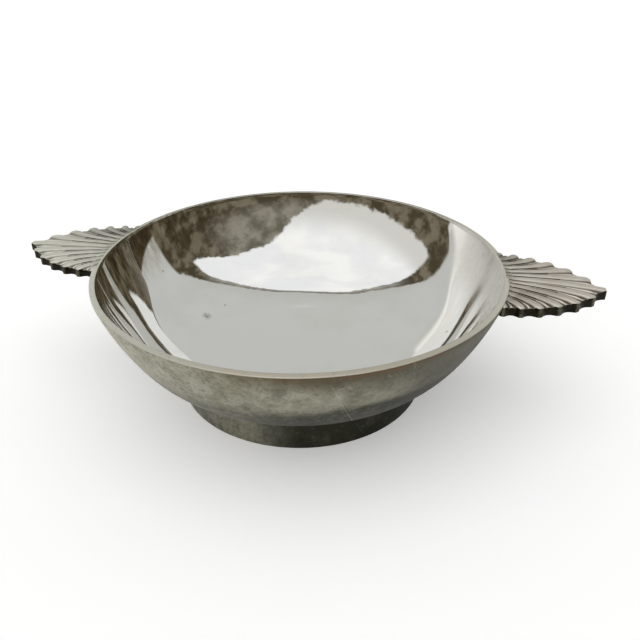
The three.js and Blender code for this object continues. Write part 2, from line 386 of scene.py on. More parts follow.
def satin_lip(colours):
    """Satin metal with turning lines, nicks and a brown cast, and a painted highlight on its inner
    edge.
    """
    finish = Metal("satin_lip")
    radius = finish.radius
    cloud = finish.cloud(0.11, 5.0, 0.65)
    fine = finish.cloud(0.7, 6.0, 0.7)
    lines = finish.noise(finish.vector(radius, 0.0, 0.0), 5.0, 2.0)
    nicks = finish.specks(0.9, 0.16, 0.12)
    uneven = finish.noise(finish.wrapped(26.0, 3.0), 3.0)
    brown = finish.near(-66.0, 60.0) * 0.55 + cloud.rise(0.55, 0.75) * 0.3
    return finish.surface(
        colours.satin,
        (cloud.rise(0.3, 0.7), (0.72, 0.715, 0.65)),
        (brown, (0.60, 0.52, 0.40)),
        (fine.rise(0.5, 0.75) * 0.3, (0.36, 0.34, 0.27)),
        (nicks * 0.6, colours.grooves),
        # A painted highlight: a paler band along the lip's inner edge
        (radius.rise(58.55, 58.3) * 0.4, (0.8, 0.78, 0.68)),
        (finish.toward(RIGHT).rise(0.5, 0.95) * 0.75, (0.84, 0.80, 0.70)),
        roughness=0.3 + cloud * 0.2 + nicks * 0.2,
        height=lines * 0.6 + uneven * 0.4 - nicks,
        depth=0.02,
    )


def dull_outside(colours, name, foot=False):
    """Tarnished metal: mottled, smudged downwards, brown under the lip and lightly scratched.
    It is darker towards the right, with painted shade low on the wall, and the foot is nearly black
    there."""
    finish = Metal(name)
    height, radius = finish.z, finish.radius
    right = finish.toward(RIGHT)
    mottle = finish.cloud(0.17, 10.0, 0.68)
    grain = finish.cloud(1.0, 6.0, 0.72)
    smudges = finish.noise(finish.wrapped(30.0, 0.12), 0.36, 7.0, 0.62)
    wide = finish.cloud(0.05, 4.0, 0.55)
    patches = finish.cloud(0.5, 9.0, 0.76)
    blotch = finish.cloud(0.13, 8.0, 0.7, 0.25).rise(0.52, 0.68)
    rings = finish.noise(finish.vector(radius + height * 1.2, 0.0, 0.0), 2.4, 3.0, 0.6)
    worn = finish.near(-92.0, 40.0) * (0.12 + height.rise(32.0, 18.0) * 0.22)
    tint = finish.layered(
        colours.dull,
        (mottle.rise(0.34, 0.66), colours.pale),
        (smudges.rise(0.48, 0.72) * 0.55, (0.54, 0.54, 0.45)),
        (right.rise(-0.2, -0.8) * 0.35, (0.62, 0.61, 0.51)),
        (wide.rise(0.42, 0.58) * height.rise(32.0, 14.0) * 0.7, colours.blue_grey),
        (blotch * (0.4 + height.rise(28.0, 14.0) * 0.35) + worn, (0.10, 0.097, 0.07)),
        (patches.rise(0.5, 0.66) * 0.45, (0.12, 0.11, 0.076)),
        (patches.rise(0.48, 0.3) * 0.3, (0.50, 0.49, 0.40)),
        (grain.rise(0.46, 0.72) * 0.5, (0.14, 0.128, 0.085)),
    )
    scratches = finish.scratches()
    # Darker towards the right, in uneven patches
    right_darkening = (right.rise(-0.12, 0.7) * (0.55 + wide * 0.75)).clamp() * 0.95
    if foot:
        shade = 0.1 + right.rise(-0.4, -0.65) * 0.16 + right.rise(-0.42, 0.02) * 0.82
        tint = finish.layered(
            tint,
            (right_darkening, (0.062, 0.06, 0.045)),
            (shade, colours.dark),
            (mottle.rise(0.5, 0.66) * 0.25, (0.2, 0.2, 0.15)),
        )
    else:
        under_lip = height.rise(32.5, 38.8) * right.rise(-0.5, 0.08) * right.rise(0.8, 0.35) * 0.9
        upper = finish.mix(height.rise(30.0, 38.0), (0.062, 0.06, 0.045), (0.10, 0.095, 0.072))
        # Painted shade: the wall darkens towards the foot, more deeply on the right
        low = (height - right.rise(-0.1, 0.35) * 2.0).rise(25.6, 22.0) * 0.85
        low = (low + height.rise(22.0, 11.0) * 0.12) * (0.25 + 0.72 * right.rise(-0.7, 0.1))
        rubbed = finish.near(-69.0, 24.0)
        rubbed = rubbed * height.rise(25.0, 28.0) * height.rise(34.0, 30.0)
        stain = finish.near(-62.0, 34.0) * height.rise(37.6, 38.5)
        stain = stain * finish.noise(finish.wrapped(30.0, 0.3), 0.5, 5.0, 0.6).rise(0.36, 0.6)
        tint = finish.layered(
            tint,
            (under_lip, (0.11, 0.088, 0.052)),
            (right_darkening, upper),
            # Painted shade low on the wall, towards the foot
            (low * (1.0 - patches.rise(0.55, 0.35) * 0.3), (0.03, 0.03, 0.022)),
            (rubbed * mottle.rise(0.3, 0.6) * 0.4, (0.46, 0.45, 0.35)),
            (stain * 0.85, colours.stain),
        )
        for scratch in LONG_SCRATCHES:
            line = finish.long_scratch(*scratch)
            scratches = scratches.larger(line * (0.4 + grain * 0.8))
    return finish.surface(
        tint,
        (scratches * 0.22, (0.42, 0.42, 0.35)),
        roughness=0.42 + mottle * 0.16 + grain * 0.1 + blotch * 0.1 - scratches * 0.15,
        height=rings * 0.25 + grain * 0.4 + mottle * 0.6 - scratches * 0.5,
        depth=0.07,
    )


def fan_top(colours):
    """Cast ribs: satin on the crowns, and patina in the grooves with the beads rubbed bright.
    The right fan is warmer and browner on its near side, and the left one is cooler."""
    finish = Metal("fan_top")
    x, y = finish.x, finish.y
    across, along = finish.ribs()
    side = abs(across.fraction() - 0.5) * 2.0 + along.rise(0.55, 1.0) * 0.1
    from_middle = abs(across - MIDDLE_RIB)
    cloud = finish.cloud(0.22, 6.0, 0.65)
    grain = finish.cloud(1.6, 6.0, 0.7)
    streak = finish.noise(finish.vector(across * 3.0, along * 1.5, 0.0), 3.2, 5.0, 0.6)
    outer = from_middle.rise(3.0, 6.2) * along.rise(0.75, 0.3)
    groove = side.rise(0.5, 0.68) * side.rise(1.0, 0.86)
    warm = x.rise(-20.0, 20.0)
    cool = x.rise(-10.0, -40.0) * y.rise(3.0, 11.0) * along.rise(1.0, 0.4)
    brown = y.rise(-2.0, -8.5) * x.rise(10.0, 40.0) * along.rise(1.15, 0.4)
    last = from_middle.rise(5.35, 5.7) * brown
    near_rim = x.rise(68.0, 60.0) * y.rise(6.0, 12.0)
    patina = groove * (0.65 + 0.6 * cloud + brown * 0.5) + outer * 0.35 + last
    valley = finish.layered(
        (0.20, 0.195, 0.145),
        (warm, colours.grooves),
        (brown, (0.045, 0.028, 0.018)),
    )
    return finish.surface(
        (0.70, 0.70, 0.62),
        (warm, colours.ribs),
        (cloud.rise(0.3, 0.7), (0.80, 0.77, 0.69)),
        (streak.rise(0.5, 0.75) * 0.4, (0.42, 0.38, 0.30)),
        (cool * 0.45, (0.40, 0.40, 0.41)),
        (brown * cloud.rise(0.3, 0.6) * 0.55, (0.24, 0.18, 0.13)),
        (near_rim * (0.15 + cloud * 0.5), (0.25, 0.25, 0.20)),
        ((patina + along.rise(0.2, 0.1) * 0.3).clamp() * 0.9, valley),
        (grain.rise(0.6, 0.8) * 0.35, (0.2, 0.17, 0.12)),
        roughness=0.33 + cloud * 0.12 + groove * 0.12 + grain * 0.06,
        height=grain * 0.5 + streak * 0.7 + cloud,
        depth=0.06,
    )


def fan_edge(colours):
    """The fan's edge: nearly black, partly patina and partly painted shade, with a painted highlight
    on the noses of the lobes.
    """
    finish = Metal("fan_edge")
    across, _ = finish.ribs()
    # Painted highlight on the noses of the lobes
    nose = abs(across.fraction() - 0.5).rise(0.15, 0.04)
    cloud = finish.cloud(0.5, 6.0, 0.7)
    grain = finish.cloud(1.4, 6.0, 0.7)
    return finish.surface(
        # Nearly black: patina, with painted shade
        (0.012, 0.010, 0.006),
        (cloud.rise(0.35, 0.7), colours.dark),
        (nose * cloud.rise(0.3, 0.6) * 0.8, (0.13, 0.12, 0.078)),
        (grain.rise(0.55, 0.75) * 0.25, (0.11, 0.10, 0.065)),
        roughness=0.42 + cloud * 0.15,
        height=grain + cloud,
        depth=0.05,
    )


def fan_back(colours):
    """The underside as cast, with a fine skin and old patina."""
    finish = Metal("fan_back")
    cloud = finish.cloud(0.14, 7.0, 0.68)
    skin = finish.cloud(1.1, 7.0, 0.72)
    return finish.surface(
        (0.16, 0.15, 0.115),
        (cloud.rise(0.35, 0.65), (0.36, 0.33, 0.265)),
        (skin.rise(0.5, 0.72) * 0.5, colours.grooves),
        roughness=0.46 + skin * 0.2,
        height=skin + cloud * 0.5,
        depth=0.12,
    )


def run_solder():
    """Hand-run solder: softly lumpy, with dark flux stains."""
    finish = Metal("run_solder")
    lumps = finish.cloud(0.45, 3.0, 0.5)
    stain = finish.cloud(0.3, 6.0, 0.7)
    return finish.surface(
        (0.08, 0.077, 0.058),
        (stain.rise(0.35, 0.65), (0.21, 0.20, 0.16)),
        (finish.toward(RIGHT).rise(-0.5, 0.1) * 0.75, (0.04, 0.038, 0.028)),
        metallic=0.9,
        roughness=0.42 + stain * 0.2,
        height=lumps,
        depth=0.25,
    )


# Modelling

def only(piece):
    """Selects one object alone and makes it active."""
    if bpy.context.object and bpy.context.object.mode != "OBJECT":
        bpy.ops.object.mode_set(mode="OBJECT")
    bpy.ops.object.select_all(action="DESELECT")
    piece.select_set(True)
    bpy.context.view_layer.objects.active = piece


def edit(piece, action="SELECT"):
    """Opens a piece for editing, with all of it selected or with nothing."""
    only(piece)
    bpy.ops.object.mode_set(mode="EDIT")
    bpy.ops.mesh.select_all(action=action)


def merge_doubles():
    bpy.ops.mesh.select_all(action="SELECT")
    bpy.ops.mesh.remove_doubles(threshold=0.002 * MM)


def turn_outwards():
    """Turns all faces of the piece that is being edited outwards, and ends the editing."""
    bpy.ops.mesh.select_all(action="SELECT")
    bpy.ops.mesh.normals_make_consistent(inside=False)
    bpy.ops.object.mode_set(mode="OBJECT")


def drawn_section(name, points, closed):
    """A section in the XZ plane: one point is extruded from the next."""
    bpy.ops.mesh.primitive_plane_add(size=MM)
    piece = bpy.context.object
    piece.name = piece.data.name = name
    edit(piece)
    bpy.ops.mesh.merge(type="CENTER")
    bpy.ops.transform.translate(value=(points[0][0], 0, points[0][1]))
    path = [*points, points[0]] if closed else points
    for (r0, z0), (r1, z1) in zip(path, path[1:]):
        bpy.ops.mesh.extrude_region_move(TRANSFORM_OT_translate={"value": (r1 - r0, 0, z1 - z0)})
    return piece


def spun(name, points, steps, closed=False, angle=2 * math.pi):
    """A section spun round the Z axis, with its doubles merged and its faces turned outwards."""
    piece = drawn_section(name, points, closed)
    merge_doubles()
    bpy.ops.mesh.spin(steps=steps, angle=angle, center=(0, 0, 0), axis=(0, 0, 1))
    merge_doubles()
    turn_outwards()
    return piece


def arc(centre, radius, start, end, steps=4):
    """Points on an arc in a section, from one angle to another."""
    angles = (start + (end - start) * i / steps for i in range(steps + 1))
    return [(centre[0] + radius * math.cos(a), centre[1] + radius * math.sin(a)) for a in angles]


def between(start, end, parts):
    """Points that divide a line in a section into equal parts, without its ends."""
    return [tuple(a + (b - a) * k / parts for a, b in zip(start, end)) for k in range(1, parts)]


def fillet(low, far, corner, pull, parts=6):
    """Points on a hollow fillet from its low end to its far end, drawn towards the corner."""
    points = []
    for t in (k / parts for k in range(parts + 1)):
        points.append(tuple(a + (b - a) * t + (c - (a + b) / 2) * pull * t * (1 - t)
                            for a, b, c in zip(low, far, corner)))
    return points


def ease(value, low, high):
    """0 at low, 1 at high, and smooth between them. Low may be above high."""
    t = min(1, max(0, (value - low) / (high - low)))
    return t * t * (3 - 2 * t)


def dressed(piece, node, finishes=(), pick=None):
    """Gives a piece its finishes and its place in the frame."""
    for material in finishes:
        piece.data.materials.append(material)
    if pick:
        for face in piece.data.polygons:
            face.material_index = pick(face)
    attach(piece, "root")
    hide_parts(node)


def smooth(piece, degrees):
    only(piece)
    bpy.ops.object.shade_smooth_by_angle(angle=math.radians(degrees))


def eased_wall(sizes):
    """The outer wall from the axis to the lip: radius, height and slope, eased between arcs."""
    base, shoulder, lip = sizes.base_slope, sizes.shoulder_slope, sizes.lip_slope
    shoulder_r = bowl_high.x - sizes.long_radius * (math.sin(lip) - math.sin(shoulder))
    base_r = shoulder_r - sizes.turn_radius * (math.sin(shoulder) - math.sin(base))
    beyond = math.radians(4)
    knots = [(0.0, 0.0)]
    for radius, end in ((base_r / math.sin(base), base), (sizes.turn_radius, shoulder),
                        (sizes.long_radius, lip + beyond)):
        s, t = knots[-1]
        knots.append((s + radius * (end - t), end))

    def plain(s):
        """The slope at a length along the three arcs."""
        sign, s = math.copysign(1, s), abs(s)
        for (s0, t0), (s1, t1) in zip(knots, knots[1:]):
            if s <= s1:
                return sign * (t0 + (t1 - t0) * (s - s0) / (s1 - s0))
        return sign * (knots[-1][1] + (s - knots[-1][0]) / sizes.long_radius)

    taps = [k / 12 for k in range(-12, 13)]
    weights = [1 - abs(k) for k in taps]

    def eased(s):
        slopes = (plain(s + k * sizes.easing) for k in taps)
        return sum(w * t for w, t in zip(weights, slopes)) / sum(weights)

    step = 0.2 * MM
    wall = [(0.0, 0.0, eased(0.0))]
    while wall[-1][0] < bowl_high.x:
        r, z, t = wall[-1]
        after = eased(len(wall) * step)
        middle = (t + after) / 2
        wall.append((r + step * math.cos(middle), z + step * math.sin(middle), after))
    lift = bowl_high.z - sizes.lip_height - wall[-1][1]
    return [(r, z + lift, t) for r, z, t in wall]


def body_section(sizes):
    """The body's section in three runs of points: up the outer wall, over the lip, and up the
    inner wall from the axis."""
    every = 5
    wall = eased_wall(sizes)
    rim, top = bowl_high.x, bowl_high.z
    soft, edge = sizes.inner_round, sizes.outer_round
    outside = [(r, z) for r, z, _ in wall[:-3:every] if r < rim - 0.2 * MM]
    outside.append((rim, top - sizes.lip_height))
    inner = []
    for r, z, t in wall:
        thick = sizes.wall - sizes.lip_thinning * ease(z, top - 30 * MM, top - 1 * MM)
        inner.append((r - thick * math.sin(t), z + thick * math.cos(t)))
    inner = [p for p in inner if p[1] < top - soft]
    inside = [(0.0, inner[0][1]), *inner[every:-2:every], inner[-1]]
    mouth = inside[-1][0]
    fall = math.atan2(sizes.lip_fall, rim - mouth)
    lip = arc((rim - edge, top - sizes.lip_fall - edge), edge, 0, math.pi / 2 - fall)
    crown = (mouth + 1.1 * soft, top)
    lip += between(lip[-1], crown, 3)
    lip += arc((crown[0], top - soft), soft, math.pi / 2, math.pi - 0.2, 3)
    return outside, lip, inside


def cut_round(piece, radius):
    """Cuts away what lies within a radius of the axis."""
    bpy.ops.mesh.primitive_cylinder_add(vertices=256, radius=radius, depth=0.2, location=(0, 0, 0))
    cutter = bpy.context.object
    only(piece)
    bpy.ops.object.modifier_add(type="BOOLEAN")
    cut = piece.modifiers[-1]
    cut.operation, cut.object, cut.solver = "DIFFERENCE", cutter, "EXACT"
    bpy.ops.object.modifier_apply(modifier=cut.name)
    only(cutter)
    bpy.ops.object.delete()
    only(piece)


class BOWL_OT_body(bpy.types.Operator):
    """Spin the bowl's body: dull outside, satin on the lip and polished inside"""

    bl_idname = "bowl.body"
    bl_label = "Body"

    def execute(self, context):
        sizes, colours = context.scene.bowl_sizes, context.scene.pewter_colours
        outside, lip, inside = body_section(sizes)
        piece = spun("bowl_body", outside + lip + inside[::-1], 288)
        mouth, lip_foot = inside[-1][0], bowl_high.z - sizes.lip_height

        # 0 is the inside, 1 the lip and 2 the outside
        def pick(face):
            centre, normal = face.center, face.normal
            around, upward = math.hypot(centre.x, centre.y), normal.z > 0.5
            if centre.z > lip_foot and around > mouth and upward:
                return 1
            towards_axis = centre.x * normal.x + centre.y * normal.y < 0
            return 0 if towards_axis or (upward and around < mouth) else 2

        smooth(piece, 28)
        finishes = [polished_inside(colours), satin_lip(colours)]
        finishes.append(dull_outside(colours, "dull_wall"))
        dressed(piece, "bowl", finishes, pick)
        return {"FINISHED"}


class BOWL_OT_foot(bpy.types.Operator):
    """Spin the ring foot, and the solder seam in the corner above it"""

    bl_idname = "bowl.foot"
    bl_label = "Foot"

    def execute(self, context):
        sizes, colours = context.scene.foot_sizes, context.scene.pewter_colours
        wall = eased_wall(context.scene.bowl_sizes)

        def underside(r):
            return next(z for at, z, _ in wall if at >= r)

        outer, high, edge = foot_high.x, foot_high.z, sizes.edge_round
        inner = outer - sizes.wall
        outer_top, inner_top = outer - sizes.taper, inner - sizes.taper
        sunk = 0.2 * MM
        section = arc((outer - edge, edge), edge, -math.pi / 2, 0)
        section += between((outer, edge), (outer_top, high), 6)
        section += [(outer_top, high), (outer_top - sunk / 2, underside(outer_top) + sunk),
                    (inner_top, underside(inner_top) + sunk), (inner_top, high)]
        section += arc((inner + edge, edge), edge, math.pi, 1.5 * math.pi)
        foot = spun("foot_band", section, 256, closed=True)
        smooth(foot, 30)
        dressed(foot, "foot_ring", [dull_outside(colours, "dull_foot", foot=True)])

        seam, tuck = sizes.seam, 0.15 * MM
        low = (outer_top, high - seam)
        far = (outer_top + seam, underside(outer_top + seam))
        corner = (outer_top, underside(outer_top))
        hollow = fillet(low, far, corner, 1.4)
        back = [(far[0], far[1] + tuck), (outer_top - sunk, corner[1] + tuck),
                (outer_top - sunk, low[1])]
        ring = spun("foot_seam", hollow + back, 256, closed=True)
        smooth(ring, 40)
        dressed(ring, "foot_solder", [run_solder()])
        return {"FINISHED"}


class FanPlan:
    """The fan in plan, with its middle rib along +X: a pointed arch, its lobes and its grooves."""

    ROOT_RADIUS = 56.0 * MM  # Where the ribs start, inside the wall
    ROOT_PITCH = 1.0 * MM  # Between two grooves at the rim
    ROOT_GROWTH = 0.19 * MM  # How that pitch grows towards the sides
    CUT_RADIUS = 59.0 * MM  # What lies within it is cut away
    LEAD = 0.6  # How a groove sets out, as a share of the angle to its notch
    BEND = 0.65  # Where it bends, as a share of its length
    SWELL = 6  # How late the ribs swell into their lobes
    NOSE, MIDDLE_NOSE = 0.16, 0.34  # Half width of a lobe's rounded nose, as a share of the rib's
    ROWS, EDGE_ROWS = 44, 4  # The grid's rows along a rib, and over the rounded edge of a lobe
    # The grid's lines on half a rib, from a groove to the crown
    ACROSS = (-1, -0.95, -0.9, -0.85, -0.79, -0.745, -0.7, -0.655, -0.61, -0.56, -0.5, -0.44,
              -0.38, -0.32, -0.25, -0.13)

    def __init__(self, sizes):
        self.sizes = sizes
        self.rim = bowl_high.x
        self.centre_x = self.rim - sizes.set_in
        run = self.rim + sizes.reach - self.centre_x
        self.radius = (run**2 + sizes.half_width**2) / (2 * sizes.half_width)
        self.centre_y = sizes.half_width - self.radius
        self.tip_angle = math.atan2(-self.centre_y, run)
        last = sizes.side_ribs + 1
        self.grooves = [self.groove(n) for n in range(-last, last + 1) if n]

    def arch(self, lobes, inset):
        """A point on the arch, so many lobes from the tip."""
        ratio, ribs = self.sizes.lobe_ratio, self.sizes.side_ribs
        part = (1 - ratio**lobes) / (1 - ratio**ribs)
        angle = self.tip_angle + (math.pi / 2 - self.tip_angle) * part
        arm = Vector((math.cos(angle), math.sin(angle))) * (self.radius - inset)
        return Vector((self.centre_x, self.centre_y)) + arm

    def groove(self, n):
        """A groove's root, bend and notch in plan."""
        side, n = math.copysign(1, n), abs(n)
        angle = (self.ROOT_PITCH * n + self.ROOT_GROWTH * n * n) / self.rim
        root = Vector((math.cos(angle), math.sin(angle))) * self.ROOT_RADIUS
        notch = self.arch(n - 0.5, self.sizes.notch)
        chord = notch - root
        lead = math.atan2(chord.y, chord.x) * self.LEAD
        bend = root + Vector((math.cos(lead), math.sin(lead))) * chord.length * self.BEND
        return [Vector((p.x, p.y * side)) for p in (root, bend, notch)]

    @staticmethod
    def on(curve, t):
        a, b, c = curve
        return a * (1 - t) ** 2 + b * 2 * t * (1 - t) + c * t**2

    def point(self, rib, v, t):
        """A point of the upper face, at v from -1 to 1 across a rib and at t from 0 to 1 along
        it, and half the rib's width there."""
        near, far = self.grooves[rib], self.grooves[rib + 1]
        a, b = self.on(near, t), self.on(far, t)
        k = rib - self.sizes.side_ribs
        end = self.arch(abs(k), 0)
        end.y = end.y * (k > 0) - end.y * (k < 0)
        lobe = end - (self.on(near, 1) + self.on(far, 1)) / 2
        nose = self.NOSE if k else self.MIDDLE_NOSE
        return a.lerp(b, (v + 1) / 2) + lobe * lobe_end(v, nose) * t**self.SWELL, (b - a).length / 2

    def top(self, x):
        """The height of the ribs' crowns."""
        fall = (self.sizes.drop_at_tip - self.sizes.drop_at_rim) * (x - self.rim) / self.sizes.reach
        return bowl_high.z - self.sizes.drop_at_rim - fall


def rib_sink(sizes, v, t, half, out):
    """How far the face lies under the crowns. Each rib is a broad rounded crown, and the groove
    between two of them holds a fine bead. The relief fades towards the rim, and the grooves
    widen towards the lobes, where the beads end."""
    v = abs(v)
    depth = sizes.relief * min(1, half / (1.9 * MM)) * ease(out, -0.8 * MM, 1.4 * MM)
    wider = 0.14 * ease(t, 0.55, 1.0)
    hollow = 0.2 * min(1, v / (0.52 - wider)) ** 2 + 0.8 * ease(v, 0.48 - wider, 0.7 - wider / 2)
    bead = math.cos(math.pi / 2 * min(1, (1 - v) / 0.17)) ** 2
    bead *= ease(t, 0.1, 0.4) * ease(t, 1.0, 0.86)
    return depth * (hollow - sizes.bead * bead)


def lobe_end(v, nose):
    """The outline of a lobe: a rounded nose at the crown, with a hollow on each side of it."""
    beyond = max(0, abs(v) - nose) / (1 - nose)
    return (1 - (math.hypot(beyond, 0.06) - 0.06) / (math.hypot(1, 0.06) - 0.06)) ** 1.75


def fan_face(plan):
    """A grid laid over the ribs and rounded down at the lobes, with a map of the ribs."""
    sizes = plan.sizes
    ribs = 2 * sizes.side_ribs + 1
    spots = [*plan.ACROSS, 0.0, *(-v for v in reversed(plan.ACROSS))]
    per_rib = len(spots) - 1
    columns, rows = ribs * per_rib, plan.ROWS + plan.EDGE_ROWS
    bpy.ops.mesh.primitive_grid_add(x_subdivisions=columns, y_subdivisions=rows, size=1)
    fan = bpy.context.object
    fan.name = fan.data.name = "fan_right"
    seats = []
    for vertex in fan.data.vertices:
        column = round((vertex.co.x + 0.5) * columns)
        row = round((vertex.co.y + 0.5) * rows)
        rib = min(column // per_rib, ribs - 1)
        v = spots[column - rib * per_rib]
        outline = plan.point(rib, v, 1.0)[0] - plan.point(rib, v, 0.0)[0]
        inset = sizes.edge_round / outline.length
        if row <= plan.ROWS:
            t, drop = (1 - inset) * row / plan.ROWS, 0.0
        else:
            turn = math.pi / 2 * (row - plan.ROWS) / plan.EDGE_ROWS
            t, drop = 1 - inset * (1 - math.sin(turn)), sizes.edge_round * (1 - math.cos(turn))
        p, half = plan.point(rib, v, t)
        roll = 0.3 * MM * ease(t, 0.86, 1.0) ** 2 * (1 - v * v)
        sink = rib_sink(sizes, v, t, half, p.length - plan.rim)
        vertex.co = (p.x, p.y, plan.top(p.x) - sink - drop - roll)
        seats.append((rib + (v + 1) / 2, t))
    fan.data.uv_layers[0].name = "ribs"
    map_ = fan.data.uv_layers[0].data
    for loop in fan.data.loops:
        map_[loop.index].uv = seats[loop.vertex_index]
    return fan


def add_thickness(fan, plan):
    """Extrudes the fan's face down to a flat underside, and clears the wall of the bowl."""
    thickness = plan.sizes.thickness
    edit(fan)
    bpy.ops.mesh.extrude_region_move(TRANSFORM_OT_translate={"value": (0, 0, -thickness)})
    bpy.ops.object.mode_set(mode="OBJECT")
    for vertex in fan.data.vertices:
        if vertex.select:
            vertex.co.z = plan.top(vertex.co.x) - thickness
    edit(fan)
    turn_outwards()
    cut_round(fan, plan.CUT_RADIUS)


def lower(fan, plan):
    """Lowers the right fan's tip and its near side, and its underside a little more."""
    sizes = plan.sizes
    for vertex in fan.data.vertices:
        x, y, z = vertex.co
        droop = sizes.droop * ease(x, plan.rim + 0.45 * sizes.reach, plan.rim + sizes.reach)
        tilt = sizes.tilt * max(0, -y) / sizes.half_width
        under = z < plan.top(x) - 0.9 * sizes.thickness
        vertex.co.z -= droop + tilt + (sizes.swelling if under else 0)


class BOWL_OT_fans(bpy.types.Operator):
    """Lay a grid over a fan's ribs, give it a thickness and set a fan on each side"""

    bl_idname = "bowl.fans"
    bl_label = "Fan handles"

    def execute(self, context):
        plan, colours = FanPlan(context.scene.fan_sizes), context.scene.pewter_colours
        fan = fan_face(plan)
        add_thickness(fan, plan)
        smooth(fan, 38)

        # 0 is the top, 1 the edge and 2 the back
        def pick(face):
            if face.normal.z < -0.6:
                return 2
            return 1 if face.normal.z < 0.45 else 0

        finishes = [fan_top(colours), fan_edge(colours), fan_back(colours)]
        dressed(fan, "handle_right", finishes, pick)
        bpy.ops.object.duplicate()
        other = bpy.context.object
        other.name = other.data.name = "fan_left"
        edit(other)
        bpy.ops.transform.rotate(value=math.pi, orient_axis="Z", center_override=(0, 0, 0))
        bpy.ops.object.mode_set(mode="OBJECT")
        dressed(other, "handle_left")
        lower(fan, plan)
        return {"FINISHED"}


class BOWL_OT_fan_seams(bpy.types.Operator):
    """Run a solder seam under each fan, in the corner against the wall"""

    bl_idname = "bowl.fan_seams"
    bl_label = "Fan seams"

    def execute(self, context):
        sizes = context.scene.fan_sizes
        wall = eased_wall(context.scene.bowl_sizes)

        def wall_radius(height):
            return next(r for r, z, _ in wall if z >= height)

        under = FanPlan(sizes).top(bowl_high.x) - sizes.thickness
        leg, tuck, half = sizes.seam, 0.25 * MM, sizes.seam_angle
        low, far = (wall_radius(under - leg), under - leg), (wall_radius(under) + leg, under)
        corner = (wall_radius(under), under)
        back = [(far[0], far[1] + tuck), (corner[0] - tuck, corner[1] + tuck),
                (low[0] - tuck, low[1])]
        section = fillet(low, far, corner, 1.3) + back
        for side, turn in (("right", 0.0), ("left", math.pi)):
            seam = spun(f"fan_seam_{side}", section, 40, closed=True, angle=2 * half)
            edit(seam, "DESELECT")
            bpy.ops.mesh.select_non_manifold()
            bpy.ops.mesh.edge_face_add()
            turn_outwards()
            # The seam thins out towards both ends
            for vertex in seam.data.vertices:
                x, y, z = vertex.co
                angle, r = math.atan2(y, x), math.hypot(x, y)
                middle = half if angle > 0 else -half
                along = min(1, abs(angle - middle) / half)
                keep = math.sqrt(max(0.0, 1 - along**3)) * 0.85 + 0.15
                lowered = under - (under - z) * keep
                r = (r - wall_radius(min(z, under)) + tuck) * keep
                r += wall_radius(min(lowered, under)) - tuck
                angle += turn - middle
                vertex.co = (r * math.cos(angle), r * math.sin(angle), lowered)
            smooth(seam, 40)
            dressed(seam, f"handle_solder_{side}", [run_solder()])
        return {"FINISHED"}


class BOWL_OT_studio(bpy.types.Operator):
    """Set the bowl on a plain pale floor, in a soft studio, in front of a camera"""

    bl_idname = "bowl.studio"
    bl_label = "Studio"

    def execute(self, context):
        settings = context.scene.studio_settings
        bpy.ops.mesh.primitive_plane_add(size=settings.floor_size)
        floor = context.object
        floor.name = floor.data.name = "studio_floor"
        floor.data.materials.append(floor_paper(settings))
        studio_light(context, settings)
        at = Vector(CAMERA_SPOT) * bowl_high.x + Vector((0, 0, bowl_high.z))
        turn = (math.pi / 2 - settings.camera_dip, 0, settings.camera_turn)
        bpy.ops.object.camera_add(location=at, rotation=turn)
        camera = context.object
        camera.name = "photo_camera"
        camera.data.sensor_width = SENSOR
        camera.data.lens = LENS
        camera.data.clip_start = 10 * MM
        context.scene.camera = camera
        context.scene.cycles.glossy_bounces = 10
        context.scene.view_settings.view_transform = "Standard"
        return {"FINISHED"}


def floor_paper(settings):
    """Pale paper that keeps the shadow, lifted to white for the camera and for metal."""
    finish = Finish(bpy.data.materials.new("floor_paper"))
    camera = finish.node("ShaderNodeLightPath", out="Is Camera Ray")
    metal, glass = (finish.output(camera, f"Is {kind} Ray") for kind in ("Glossy", "Transmission"))
    paper = finish.node("ShaderNodeBsdfDiffuse", sockets={"Color": (*settings.floor_colour, 1)})
    white = (camera + metal + glass) * settings.floor_lift
    lift = finish.node("ShaderNodeEmission", sockets={"Strength": white})
    both = finish.node("ShaderNodeAddShader", sockets={0: paper, 1: lift})
    finish.node("ShaderNodeOutputMaterial", sockets={"Surface": both})
    return finish.owner


